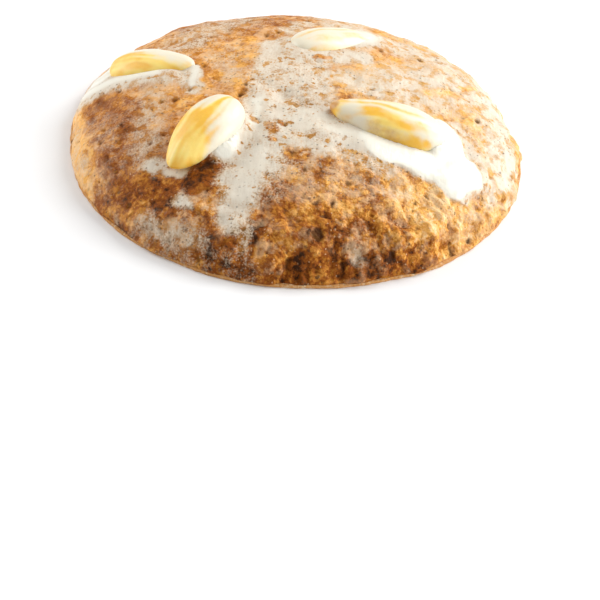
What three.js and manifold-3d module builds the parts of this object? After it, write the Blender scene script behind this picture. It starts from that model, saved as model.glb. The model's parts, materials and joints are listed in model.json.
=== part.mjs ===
// A round lebkuchen: a domed spice biscuit baked on a thin wafer, with blanched almonds pressed into its top
// and pools of sugar glaze round them. Millimetres, +Z up. The origin is the middle of the wafer's underside,
// +X is the right of the biscuit and +Y its back.
import * as THREE from "three";
import { ImprovedNoise } from "three/addons/math/ImprovedNoise.js";
import { mergeVertices } from "three/addons/utils/BufferGeometryUtils.js";
import Module from "manifold-3d";

// Driving dimensions
const DIAMETER = 92; // across the wafer
const THICKNESS = 16; // from the wafer's underside to the top of the dome
const WAFER_THICKNESS = 0.7;
const WAFER_LIP = 0.45; // how far the wafer's edge stands out past the dough
const RIM_DROP = 0.4; // the dome's widest ring lies this far below the wafer's top, and is sliced off
const SOCKET_GAP = 0.3; // between an almond and the hollow that it has pressed into the dough
const WELD = 0.001; // corners closer together than this are one

// How finely the faceted solids are divided
const DOUGH_DIVISIONS = 41; // rows of facets from the top of the dome to its rim
const WAFER_SEGMENTS = 160;
const ALMOND_DETAIL = 4;

// Sizes that follow from the driving dimensions
const WAFER_RADIUS = DIAMETER / 2;
const DOUGH_RADIUS = WAFER_RADIUS - WAFER_LIP;
const DOME_BASE = WAFER_THICKNESS - RIM_DROP;
const DOME_HEIGHT = THICKNESS - DOME_BASE;

// The rim is round but for a few slow waves, each so many to the turn, and as high as this share of the radius
const RIM_WAVES = [
  { count: 2, height: 0.004, phase: 0.3 },
  { count: 4, height: 0.003, phase: 2.0 },
  { count: 8, height: 0.0025, phase: 1.1 },
  { count: 14, height: 0.0018, phase: 0.4 },
];

// Relief of the crust: how far it swells and breaks up, and how wide each bump is
const SWELL = { height: 0.55, width: 17 };
const LUMPS = { height: 0.6, width: 6.5 };
const CRAGS = { height: 0.95, width: 3.6 };
const CRAG_BEARING = THREE.MathUtils.degToRad(-55); // the rim is craggiest on this side, front right
const CRAG_START = 0.7; // share of the radius where the craggy edge begins
const CRAGS_BEHIND = 0.3; // share of the crags that is left on the other side
const CRAGS_INSIDE = 0.35; // share of the crags that is left away from the edge
const LUMPS_SMOOTHED = 0.5; // share of the lumps that is left where there are no crags
const NOISE_SHIFT = new THREE.Vector3(7.3, 2.9, 5.1); // keeps the still points of the noise off the middle

// Open pores in the crust
const PORES = { count: 90, seed: 11, radius: [1.1, 2.2], depth: [0.35, 0.95] };

// Sugar glaze that ran together round the almonds, as broad runs from one place to another on the plan
const GLAZE_SHOULDER = 0.6; // share of a run's reach over which the glaze rises to its full depth
const GLAZE_SEAL = 0.5; // glaze as deep as this hides the crust below it
const GLAZE_POOLS = [
  { from: [-42, 3.5], to: [-28, 2.5], reach: 4.2, depth: 0.5 },
  { from: [-12.5, -12], to: [-13.5, -22], reach: 3.6, depth: 0.6 },
  { from: [14, -19], to: [27, -21], reach: 4, depth: 0.6 },
  { from: [29.5, -22.5], to: [32.5, -19.5], reach: 4.8, depth: 0.9 },
  { from: [29, -10.5], to: [31, -18], reach: 3, depth: 0.55 },
  { from: [1, 13], to: [13, 20], reach: 8, depth: 0.55 },
];

// Almonds: their middles on the plan, the bearing that the pointed tip faces, and their sizes.
// The share sunk is how much of the thickness lies below the crust.
const ALMONDS = [
  { at: [-31, 7.7], bearing: 341, length: 20, width: 10, thickness: 6.2, sunk: 0.58 },
  { at: [-17.1, -19.1], bearing: 238, length: 20.5, width: 10.8, thickness: 7.6, sunk: 0.36 },
  { at: [17.6, -12.4], bearing: 170, length: 23.5, width: 10, thickness: 7.6, sunk: 0.44 },
  { at: [6.1, 17.2], bearing: 31, length: 21, width: 10, thickness: 6.2, sunk: 0.6 },
];
const ALMOND_TAPER = 0.24; // how much narrower the tip's half is than the blunt half
const ALMOND_TIP = 0.09; // how far the tip is drawn out, as a share of half the length

// Multiplier and step of the seeded random source
const RANDOM_MULTIPLIER = 1664525;
const RANDOM_STEP = 1013904223;

const dough_colour = new THREE.MeshStandardMaterial({ color: 0xb9803f, roughness: 0.85, metalness: 0 });
const wafer_colour = new THREE.MeshStandardMaterial({ color: 0xd9a867, roughness: 0.9, metalness: 0 });
const almond_colour = new THREE.MeshStandardMaterial({ color: 0xf0d083, roughness: 0.5, metalness: 0 });

const wasm = await Module();
wasm.setup();
const perlin = new ImprovedNoise();

// A seeded random source, so that the pores lie in the same places every time.
function seededRandom(seed) {
  let state = seed >>> 0;
  return () => {
    state = (Math.imul(state, RANDOM_MULTIPLIER) + RANDOM_STEP) >>> 0;
    return state / 2 ** 32;
  };
}

// Noise of one bump width at a point, from about -1 to 1.
function bumps(point, { width }) {
  const { x, y, z } = point.clone().divideScalar(width).add(NOISE_SHIFT);
  return perlin.noise(x, y, z);
}

// The rim's radius on a bearing, as a share of the round one.
function rimShare(bearing) {
  return RIM_WAVES.reduce((sum, w) => sum + w.height * Math.cos(w.count * bearing + w.phase), 1);
}

// The plain dome, before any relief: the height over a place on the plan, and the way that it faces there.
function domeHeight(x, y) {
  const share = Math.min(1, Math.hypot(x, y) / DOUGH_RADIUS);
  return DOME_BASE + DOME_HEIGHT * Math.sqrt(1 - share * share);
}

function domeNormal(x, y) {
  const z = domeHeight(x, y) - DOME_BASE;
  return new THREE.Vector3(x / DOUGH_RADIUS ** 2, y / DOUGH_RADIUS ** 2, z / DOME_HEIGHT ** 2).normalize();
}

// Distance on the plan from a point to the straight middle line of a pool of glaze.
function distanceToRun(point, { from, to }) {
  const start = new THREE.Vector3(...from, 0);
  const line = new THREE.Line3(start, new THREE.Vector3(...to, 0));
  const plan = new THREE.Vector3(point.x, point.y, 0);
  return line.closestPointToPoint(plan, true, new THREE.Vector3()).distanceTo(plan);
}

// How deep the glaze lies over a point of the crust.
function glazeDepth(point) {
  const depths = GLAZE_POOLS.map((pool) => {
    const inside = 1 - distanceToRun(point, pool) / pool.reach;
    return pool.depth * THREE.MathUtils.smoothstep(inside, 0, GLAZE_SHOULDER);
  });
  return Math.max(...depths);
}

// Pores scattered evenly over the plan, by area.
function scatterPores() {
  const random = seededRandom(PORES.seed);
  const between = ([low, high]) => low + (high - low) * random();
  return Array.from({ length: PORES.count }, () => {
    const distance = DOUGH_RADIUS * Math.sqrt(random());
    const bearing = 2 * Math.PI * random();
    const x = distance * Math.cos(bearing);
    const y = distance * Math.sin(bearing);
    return {
      at: new THREE.Vector3(x, y, domeHeight(x, y)),
      radius: between(PORES.radius),
      depth: between(PORES.depth),
    };
  });
}

function poreDepth(point, pores) {
  const depths = pores.map(({ at, radius, depth }) => {
    const share = point.distanceTo(at) / radius;
    return share < 1 ? depth * (1 - share * share) : 0;
  });
  return Math.max(...depths);
}

// How far the crust stands out of, or sinks below, the plain dome.
function crustRelief(point, pores) {
  const bearing = Math.atan2(point.y, point.x);
  const toRim = Math.hypot(point.x, point.y) / DOUGH_RADIUS;
  const facing = Math.max(0, Math.cos(bearing - CRAG_BEARING));
  const craggy = THREE.MathUtils.lerp(CRAGS_BEHIND, 1, facing);
  const edge = THREE.MathUtils.smoothstep(toRim, CRAG_START, 1);
  const glaze = glazeDepth(point);
  const bare = 1 - Math.min(1, glaze / GLAZE_SEAL);
  const rough =
    LUMPS.height * bumps(point, LUMPS) * THREE.MathUtils.lerp(LUMPS_SMOOTHED, 1, craggy) +
    CRAGS.height * bumps(point, CRAGS) * (CRAGS_INSIDE + craggy * edge) -
    poreDepth(point, pores);
  return SWELL.height * bumps(point, SWELL) + rough * bare + glaze;
}

// The dough as a sphere of facets, drawn to the dome above and to a shallow bowl below.
function doughGeometry() {
  const sphere = new THREE.OctahedronGeometry(1, DOUGH_DIVISIONS - 1).rotateX(Math.PI / 2);
  const vertices = sphere.getAttribute("position");
  const pores = scatterPores();
  const point = new THREE.Vector3();
  for (let i = 0; i < vertices.count; i++) {
    point.fromBufferAttribute(vertices, i);
    const above = point.z >= 0;
    const radius = DOUGH_RADIUS * rimShare(Math.atan2(point.y, point.x));
    point.set(point.x * radius, point.y * radius, point.z * (above ? DOME_HEIGHT : RIM_DROP) + DOME_BASE);
    if (above) {
      point.addScaledVector(domeNormal(point.x, point.y), crustRelief(point, pores));
    }
    vertices.setXYZ(i, point.x, point.y, point.z);
  }
  return sphere;
}

// The wafer: a thin round sheet with the rim's slow waves.
function waferGeometry() {
  const disc = new THREE.CylinderGeometry(WAFER_RADIUS, WAFER_RADIUS, WAFER_THICKNESS, WAFER_SEGMENTS);
  disc.rotateX(Math.PI / 2).translate(0, 0, WAFER_THICKNESS / 2);
  const vertices = disc.getAttribute("position");
  for (let i = 0; i < vertices.count; i++) {
    const x = vertices.getX(i);
    const y = vertices.getY(i);
    const share = rimShare(Math.atan2(y, x));
    const z = vertices.getZ(i) > WAFER_THICKNESS / 2 ? WAFER_THICKNESS : 0;
    vertices.setXYZ(i, x * share, y * share, z);
  }
  return disc;
}

// A blanched almond, flat and egg-shaped, with its tip on +X and its broad faces on +Z and -Z.
// Grown by some margin it is the hollow that the almond lies in.
function almondGeometry({ length, width, thickness }, margin = 0) {
  const egg = new THREE.IcosahedronGeometry(1, ALMOND_DETAIL);
  const vertices = egg.getAttribute("position");
  for (let i = 0; i < vertices.count; i++) {
    const x = vertices.getX(i);
    const slim = 1 - ALMOND_TAPER * x;
    const drawn = x + ALMOND_TIP * Math.max(0, x) ** 3;
    vertices.setXYZ(
      i,
      drawn * (length / 2 / (1 + ALMOND_TIP / 2) + margin),
      vertices.getY(i) * slim * (width / 2 + margin),
      vertices.getZ(i) * slim * (thickness / 2 + margin),
    );
  }
  return egg;
}

// Lays a mesh on the dome like its almond: tip on the bearing, broad face along the crust, sunk by its share.
function layOnDome(mesh, { at: [x, y], bearing, thickness, sunk }) {
  const up = domeNormal(x, y);
  const angle = THREE.MathUtils.degToRad(bearing);
  const tip = new THREE.Vector3(Math.cos(angle), Math.sin(angle), 0);
  tip.addScaledVector(up, -tip.dot(up)).normalize();
  const side = new THREE.Vector3().crossVectors(up, tip);
  mesh.quaternion.setFromRotationMatrix(new THREE.Matrix4().makeBasis(tip, side, up));
  mesh.position.set(x, y, domeHeight(x, y)).addScaledVector(up, thickness * (0.5 - sunk));
  return mesh;
}

// A geometry, moved by a matrix, as a solid that can be cut, and a solid as a geometry again.
function solidOf(geometry, matrix = new THREE.Matrix4()) {
  const bare = new THREE.BufferGeometry();
  const loose = geometry.index ? geometry.toNonIndexed() : geometry;
  bare.setAttribute("position", loose.getAttribute("position").clone());
  const merged = mergeVertices(bare.applyMatrix4(matrix), WELD);
  return new wasm.Manifold(
    new wasm.Mesh({
      numProp: 3,
      vertProperties: merged.getAttribute("position").array,
      triVerts: new Uint32Array(merged.index.array),
    }),
  );
}

function geometryOf(solid) {
  const { vertProperties, triVerts } = solid.getMesh();
  const geometry = new THREE.BufferGeometry();
  geometry.setAttribute("position", new THREE.BufferAttribute(vertProperties, 3));
  geometry.setIndex(new THREE.BufferAttribute(triVerts, 1));
  geometry.computeVertexNormals();
  return geometry;
}

// The dough, sliced flat where it sits on the wafer, with a hollow pressed into it by each almond.
function pressedDough() {
  const below = new THREE.BoxGeometry(2 * DIAMETER, 2 * DIAMETER, THICKNESS);
  below.translate(0, 0, WAFER_THICKNESS - THICKNESS / 2);
  const seated = solidOf(doughGeometry()).subtract(solidOf(below));
  return ALMONDS.reduce((dough, almond) => {
    const hollow = layOnDome(new THREE.Mesh(almondGeometry(almond, SOCKET_GAP)), almond);
    hollow.updateMatrixWorld(true);
    return dough.subtract(solidOf(hollow.geometry, hollow.matrixWorld));
  }, seated);
}

function named(mesh, name) {
  mesh.name = name;
  return mesh;
}

const lebkuchen = new THREE.Group();
lebkuchen.add(named(new THREE.Mesh(waferGeometry(), wafer_colour), "wafer"));
lebkuchen.add(named(new THREE.Mesh(geometryOf(pressedDough()), dough_colour), "dough"));
ALMONDS.forEach((almond, i) => {
  const mesh = new THREE.Mesh(almondGeometry(almond), almond_colour);
  lebkuchen.add(named(layOnDome(mesh, almond), `almond_${i + 1}`));
});

export default lebkuchen;
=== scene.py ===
"""Dresses a round lebkuchen: a domed spice biscuit on a wafer, with almonds and sugar glaze on its crust.

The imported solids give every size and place. The dough, the wafer and the almonds are modelled again over them
with their fine surface. The glaze is a film on the crust and the almonds, and stands up where it pools.
"""

import json
import logging
import math
from contextlib import contextmanager
from dataclasses import dataclass
from enum import Enum
from typing import Iterator, Optional, Sequence, Union

import bpy
import numpy as np
from mathutils import Matrix, Vector, kdtree, noise
from mathutils.bvhtree import BVHTree

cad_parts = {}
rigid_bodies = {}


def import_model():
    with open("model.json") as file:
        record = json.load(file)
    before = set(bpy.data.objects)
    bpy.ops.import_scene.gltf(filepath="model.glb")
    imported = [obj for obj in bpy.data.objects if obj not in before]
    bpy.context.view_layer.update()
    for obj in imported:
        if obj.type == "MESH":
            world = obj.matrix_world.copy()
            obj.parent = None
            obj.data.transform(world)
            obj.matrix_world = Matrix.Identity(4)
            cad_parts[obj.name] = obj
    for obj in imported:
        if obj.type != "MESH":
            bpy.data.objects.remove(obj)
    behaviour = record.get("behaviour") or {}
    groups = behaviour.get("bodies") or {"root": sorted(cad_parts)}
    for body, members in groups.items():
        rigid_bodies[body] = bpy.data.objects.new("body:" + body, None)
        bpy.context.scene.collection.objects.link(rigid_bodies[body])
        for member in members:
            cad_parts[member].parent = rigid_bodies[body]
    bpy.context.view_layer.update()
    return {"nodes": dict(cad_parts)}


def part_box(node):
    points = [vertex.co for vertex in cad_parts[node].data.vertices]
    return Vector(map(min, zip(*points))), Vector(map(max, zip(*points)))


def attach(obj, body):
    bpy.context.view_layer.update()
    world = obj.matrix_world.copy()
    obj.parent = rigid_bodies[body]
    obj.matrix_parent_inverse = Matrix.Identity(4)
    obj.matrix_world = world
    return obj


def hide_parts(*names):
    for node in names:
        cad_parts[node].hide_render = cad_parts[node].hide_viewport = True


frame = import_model()

LOG = logging.getLogger("lebkuchen")
MM = 0.001
WELD = 0.005 * MM  # corners closer together than this are one
BODY = "root"
MIDDLE = 0.5  # what noise and painted shares from 0 to 1 swing round
TINY = 1e-9  # keeps a run of no length from dividing by nothing
LONG_WAVE = 5.0  # width of the long waves of an uneven edge, in millimetres
SHORT_WAVE = 1.7  # width of the short ones
WAVE_SHIFTS = (3.0, 31.0)  # keep the waves along X and those along Y apart

Colour = tuple[float, float, float]
Place = tuple[float, float]
Span = tuple[float, float]  # where something begins and where it is full, or its least and its most


def srgb(code: int) -> Colour:
    """Turn a colour as a picture shows it into the linear one that a shader takes, by the sRGB curve.

    Args:
        code: red, green and blue as one hexadecimal number.

    Returns:
        The three linear shares.
    """
    shares = [(code >> shift & 255) / 255 for shift in (16, 8, 0)]
    return tuple(s / 12.92 if s <= 0.04045 else ((s + 0.055) / 1.055) ** 2.4 for s in shares)


def rise(low: float, high: float, values: np.ndarray) -> np.ndarray:
    """Climb smoothly from 0 to 1.

    Args:
        low: value where the climb begins.
        high: value where it ends.
        values: what is measured against them.

    Returns:
        A share for each value.
    """
    share = np.clip((values - low) / (high - low), 0.0, 1.0)
    return share * share * (3.0 - 2.0 * share)


@dataclass(frozen=True)
class Wave:
    """Noise that shapes a mesh: height and width of its bumps, in millimetres, and a shift of its pattern."""

    height: float
    width: float
    shift: float = 0.0
    crown: float = 2.2  # how far a lump's crown stands over its creases
    crease: float = 0.5  # how far the creases lie below the middle

    def bumps(self, points: np.ndarray) -> np.ndarray:
        """Make smooth bumps.

        Args:
            points: places in millimetres, one a row.

        Returns:
            From about minus to plus the height for each point.
        """
        return self.height * np.array([noise.noise(p) for p in (points / self.width + self.shift).tolist()])

    def lumps(self, points: np.ndarray) -> np.ndarray:
        """Make rounded lumps that meet in creases.

        Args:
            points: places in millimetres, one a row.

        Returns:
            From about minus half the height in the creases to the height on the crowns.
        """
        return self.crown * np.abs(self.bumps(points)) - self.crease * self.height


class SelectMode(Enum):
    """What edit mode picks, as Blender's three switches."""

    CORNERS = (True, False, False)
    EDGES = (False, True, False)
    FACES = (False, False, True)


def activate(piece: bpy.types.Object) -> None:
    """Make one object the only one that operators act on.

    Args:
        piece: the object.
    """
    for other in bpy.context.view_layer.objects:
        other.select_set(False)
    piece.select_set(True)
    bpy.context.view_layer.objects.active = piece


@contextmanager
def editing(piece: bpy.types.Object, mode: SelectMode, picked: Optional[np.ndarray] = None) -> Iterator[None]:
    """Work on an object in edit mode.

    Args:
        piece: the object.
        mode: what is picked.
        picked: which faces are picked at the start, or None for all of it.

    Yields:
        Nothing. Edit mode ends with the block.
    """
    activate(piece)
    bpy.context.tool_settings.mesh_select_mode = mode.value
    bpy.ops.object.mode_set(mode="EDIT")
    bpy.ops.mesh.select_all(action="SELECT" if picked is None else "DESELECT")
    if picked is not None:
        bpy.ops.object.mode_set(mode="OBJECT")
        piece.data.polygons.foreach_set("select", picked)
        bpy.ops.object.mode_set(mode="EDIT")
    yield
    bpy.ops.object.mode_set(mode="OBJECT")


def apply_modifier(piece: bpy.types.Object, kind: str, **settings: object) -> None:
    """Add a modifier and apply it at once.

    Args:
        piece: the object.
        kind: the modifier's type.
        settings: its properties.
    """
    activate(piece)
    modifier = piece.modifiers.new(kind.lower(), kind)
    for name, value in settings.items():
        setattr(modifier, name, value)
    bpy.ops.object.modifier_apply(modifier=modifier.name)


def add_object(name: str, mesh: bpy.types.Mesh) -> bpy.types.Object:
    """Put a mesh into the scene.

    Args:
        name: the new object's name.
        mesh: its mesh.

    Returns:
        The object, at the origin.
    """
    made = bpy.data.objects.new(name, mesh)
    bpy.context.scene.collection.objects.link(made)
    return made


def merged_copy(node: str, name: str) -> bpy.types.Object:
    """Copy a CAD node as one skin whose triangles share their corners.

    Args:
        node: name of the node.
        name: name of the copy.

    Returns:
        The copy.
    """
    copy = add_object(name, frame["nodes"][node].data.copy())
    copy.data.materials.clear()
    activate(copy)
    bpy.ops.mesh.customdata_custom_splitnormals_clear()
    with editing(copy, SelectMode.CORNERS):
        bpy.ops.mesh.remove_doubles(threshold=WELD)
    return copy


def corners(mesh: bpy.types.Mesh) -> np.ndarray:
    """Read a mesh's corners, in millimetres, one a row."""
    flat = np.empty(3 * len(mesh.vertices), np.float32)
    mesh.vertices.foreach_get("co", flat)
    return flat.reshape(-1, 3).astype(float) / MM


def move_corners(mesh: bpy.types.Mesh, points: np.ndarray) -> None:
    """Put a mesh's corners where an array of millimetres says."""
    mesh.vertices.foreach_set("co", (points * MM).astype(np.float32).ravel())
    mesh.update()


def outward(mesh: bpy.types.Mesh) -> np.ndarray:
    """Read which way each corner of a mesh faces, one a row."""
    flat = np.empty(3 * len(mesh.vertices), np.float32)
    mesh.vertex_normals.foreach_get("vector", flat)
    return flat.reshape(-1, 3).astype(float)


def paint(mesh: bpy.types.Mesh, name: str, values: np.ndarray) -> None:
    """Store one number for each corner of a mesh, for its finish to read.

    Args:
        mesh: the mesh.
        name: name of the attribute.
        values: the numbers.
    """
    layer = mesh.attributes.new(name, "FLOAT", "POINT")
    layer.data.foreach_set("value", values.astype(np.float32))


def skin_tree(mesh: bpy.types.Mesh) -> BVHTree:
    """Make a tree that finds the nearest place on a mesh, in metres."""
    return BVHTree.FromPolygons([v.co for v in mesh.vertices], [p.vertices[:] for p in mesh.polygons])


def plan_tree(plan: np.ndarray) -> kdtree.KDTree:
    """Make a tree that finds the places near a place on the plan.

    Args:
        plan: the places, in millimetres, one a row.

    Returns:
        The tree, flat at height 0.
    """
    tree = kdtree.KDTree(len(plan))
    for i, (x, y) in enumerate(plan):
        tree.insert((x, y, 0.0), i)
    tree.balance()
    return tree


def settle(piece: bpy.types.Object, material: bpy.types.Material, slot: str, *nodes: str) -> None:
    """Finish a piece: smooth shading, its material, its body and the nodes it stands for.

    Args:
        piece: the finished piece.
        material: its finish.
        slot: the record's material slot; not used.
        nodes: the CAD nodes that it replaces.
    """
    piece.data.materials.clear()
    piece.data.materials.append(material)
    activate(piece)
    bpy.ops.object.shade_smooth()
    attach(piece, BODY)
    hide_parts(*nodes)
    LOG.info("%s: %d faces, stands for %s", piece.name, len(piece.data.polygons), ", ".join(nodes))


class Wire:
    """One output socket of a material, on which Python's operators add Math nodes."""

    def __init__(self, recipe: "Recipe", socket: bpy.types.NodeSocket) -> None:
        """Keep the socket and the recipe that its node belongs to."""
        self.recipe = recipe
        self.socket = socket

    def out(self, name: str) -> "Wire":
        """Give another output of the same node."""
        return Wire(self.recipe, self.socket.node.outputs[name])

    def _maths(self, operation: str, first: "Value", second: "Value") -> "Wire":
        """Add a Math node on two values."""
        return self.recipe.node("ShaderNodeMath", {"operation": operation}, {0: first, 1: second})

    def __add__(self, other: "Value") -> "Wire":
        """Add."""
        return self._maths("ADD", self, other)

    def __radd__(self, other: "Value") -> "Wire":
        """Add to a number."""
        return self._maths("ADD", other, self)

    def __sub__(self, other: "Value") -> "Wire":
        """Subtract."""
        return self._maths("SUBTRACT", self, other)

    def __rsub__(self, other: "Value") -> "Wire":
        """Subtract from a number."""
        return self._maths("SUBTRACT", other, self)

    def __mul__(self, other: "Value") -> "Wire":
        """Multiply."""
        return self._maths("MULTIPLY", self, other)

    def __rmul__(self, other: "Value") -> "Wire":
        """Multiply a number."""
        return self._maths("MULTIPLY", other, self)

    def most(self, other: "Value") -> "Wire":
        """Give the larger of two values."""
        return self._maths("MAXIMUM", self, other)

    def rise(self, low: "Value", high: "Value") -> "Wire":
        """Climb smoothly from 0 at low to 1 at high."""
        return self.recipe.node(
            "ShaderNodeMapRange", {"interpolation_type": "SMOOTHSTEP"}, {0: self, 1: low, 2: high}
        )

    def span(self, least: float, most: float) -> "Wire":
        """Run straight from the least at 0 to the most at 1."""
        return least + (most - least) * self


Value = Union[Wire, float, Colour]


class Recipe:
    """The nodes of one material."""

    CELL_WAVES = 2.0  # how many waves jumble a cell over its width
    CELL_STRAY = 0.5  # how far they do so, as a share of the width
    DOT_FULL = 0.4  # share of the dots that have their full size
    DOT_CORE = 0.4  # share of a dot's radius that is full
    DOT_EDGE = 0.001  # least width of a dot's soft edge

    def __init__(self, name: str) -> None:
        """Start an empty material.

        Args:
            name: the material's name.
        """
        self.material = bpy.data.materials.new(name)
        self.material.use_nodes = True
        self.tree = self.material.node_tree
        self.tree.nodes.clear()
        self.place = self.node("ShaderNodeTexCoord", {}, {}).out("Object")

    def node(self, kind: str, settings: dict[str, object], sockets: dict[Union[int, str], Value]) -> Wire:
        """Add any node.

        Args:
            kind: the node's type.
            settings: its own properties, which are set first.
            sockets: values or links of its inputs, by name or number.

        Returns:
            Its first live output.
        """
        made = self.tree.nodes.new(kind)
        for name, setting in settings.items():
            setattr(made, name, setting)
        for key, value in sockets.items():
            socket = made.inputs[key]
            if isinstance(value, Wire):
                self.tree.links.new(value.socket, socket)
            elif socket.type == "RGBA":
                socket.default_value = (*value[:3], 1.0)
            else:
                socket.default_value = value
        return Wire(self, next(output for output in made.outputs if output.enabled))

    def painted(self, name: str) -> Wire:
        """Read an attribute that the piece's corners hold."""
        return self.node("ShaderNodeAttribute", {"attribute_name": name}, {}).out("Fac")

    def grain(self, layer: "Grain", stretch: tuple[float, float, float] = (1.0, 1.0, 1.0)) -> Wire:
        """Noise on the piece.

        Args:
            layer: its width and how it breaks up.
            stretch: less than 1 for an axis along which it is drawn out.

        Returns:
            A value that mostly lies between 0.3 and 0.7.
        """
        place = self.node("ShaderNodeVectorMath", {"operation": "MULTIPLY"}, {0: self.place, 1: stretch})
        sockets = {"Vector": place, "Scale": 1 / (layer.width * MM)}
        sockets |= {"Detail": layer.detail, "Roughness": layer.roughness}
        return self.node("ShaderNodeTexNoise", {}, sockets)

    def layers(self, grains: Sequence["Grain"]) -> Wire:
        """Add up layers of noise, each by its amount, to a value that swings round 0."""
        total: Value = 0.0
        for layer in grains:
            total = total + layer.amount * (self.grain(layer) - MIDDLE)
        return total

    def patches(self, patch: "Patch") -> Wire:
        """Cover parts of the surface, with the amount that the patch's noise has."""
        return patch.grain.amount * self.grain(patch.grain).rise(patch.start, patch.full)

    def cells(self, width: float) -> Wire:
        """Break the surface into uneven cells.

        Args:
            width: how wide a cell is, in millimetres.

        Returns:
            The distance from a cell's middle, as a share of the width.
        """
        sockets = {"Vector": self.place, "Scale": self.CELL_WAVES / (width * MM)}
        wander = self.node("ShaderNodeTexNoise", {}, sockets)
        sockets = {0: wander.out("Color"), "Scale": self.CELL_STRAY * width * MM}
        shift = self.node("ShaderNodeVectorMath", {"operation": "SCALE"}, sockets)
        place = self.node("ShaderNodeVectorMath", {"operation": "ADD"}, {0: self.place, 1: shift})
        return self.node("ShaderNodeTexVoronoi", {}, {"Vector": place, "Scale": 1 / (width * MM)})

    def crumbs(self, layer: "Grain") -> Wire:
        """Break the surface into crumbs, each lighter or darker by chance.

        Args:
            layer: how wide a crumb is.

        Returns:
            A value from 0 to 1 for each crumb.
        """
        return self.node("ShaderNodeSeparateColor", {}, {0: self.cells(layer.width).out("Color")})

    def dots(self, specks: "Specks") -> Wire:
        """Scatter uneven dots.

        Args:
            specks: how far apart, how large and how many they are.

        Returns:
            1 on a dot and 0 elsewhere.
        """
        cell = self.cells(specks.spacing)
        chosen = self.node("ShaderNodeSeparateColor", {}, {0: cell.out("Color")})
        size = specks.size * chosen.rise(1 - specks.share, 1 - self.DOT_FULL * specks.share)
        return 1 - cell.rise(self.DOT_CORE * size, size + self.DOT_EDGE)

    def blend(self, share: Value, first: Value, second: Value) -> Wire:
        """Mix two colours."""
        return self.node("ShaderNodeMix", {"data_type": "RGBA"}, {0: share, 6: first, 7: second})

    def bump(self, height: Wire, rise_mm: float, strength: float = 1.0) -> Wire:
        """Turn a height from 0 to 1 into small relief.

        Args:
            height: the height.
            rise_mm: how high 1 is, in millimetres.
            strength: share of the effect.

        Returns:
            The normal.
        """
        sockets = {"Height": height, "Distance": rise_mm * MM, "Strength": strength}
        return self.node("ShaderNodeBump", {}, sockets)

    def surface(self, sockets: dict[str, Value]) -> Wire:
        """Add the shader of one substance."""
        return self.node("ShaderNodeBsdfPrincipled", {"subsurface_method": "RANDOM_WALK"}, sockets)

    def over(self, share: Value, below: Wire, above: Wire) -> Wire:
        """Lay one substance over another."""
        return self.node("ShaderNodeMixShader", {}, {0: share, 1: below, 2: above})

    def served(self, shader: Wire) -> bpy.types.Material:
        """Close the material.

        Args:
            shader: what its surface is made of.

        Returns:
            The material.
        """
        end = self.tree.nodes.new("ShaderNodeOutputMaterial")
        self.tree.links.new(shader.socket, end.inputs["Surface"])
        return self.material


@dataclass(frozen=True)
class Grain:
    """One layer of noise: how wide its bumps are, in millimetres, how much it counts and how it breaks up."""

    width: float
    amount: float
    detail: float = 2.0
    roughness: float = 0.5


@dataclass(frozen=True)
class Patch:
    """Patches of one layer of noise, and the values of it between which a patch begins and is full."""

    grain: Grain
    start: float
    full: float


@dataclass(frozen=True)
class Shade:
    """A colour, and the tones over which it takes over from the darker one before it."""

    colour: Colour
    start: float
    full: float


@dataclass(frozen=True)
class Specks:
    """Scattered dots: their spacing in millimetres, their size as a share of it and how many there are."""

    spacing: float
    size: float
    share: float


@dataclass(frozen=True)
class GlazeFinish:
    """White sugar glaze: thick in pools, and a dull film where it is brushed thin."""

    white: Colour = srgb(0xE9E5D7)
    film: Colour = srgb(0xD6CBB9)
    stained: Colour = srgb(0xD3B795)  # film so thin that the crust tints it
    cream: Colour = srgb(0xE8DFC8)  # glaze on an almond
    scatter: Colour = (1.0, 0.9, 0.75)
    scatter_share: float = 0.3
    scatter_depth: float = 0.7  # in millimetres

    def surface(self, recipe: Recipe, colour: Value, normal: Wire, roughness: Value) -> Wire:
        """Add the shader of glaze to a material.

        Args:
            recipe: the material.
            colour: the glaze's colour.
            normal: its small relief.
            roughness: how dull it is.

        Returns:
            The shader.
        """
        return recipe.surface(
            {
                "Base Color": colour,
                "Roughness": roughness,
                "Normal": normal,
                "Subsurface Weight": self.scatter_share,
                "Subsurface Radius": self.scatter,
                "Subsurface Scale": self.scatter_depth * MM,
            }
        )


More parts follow.
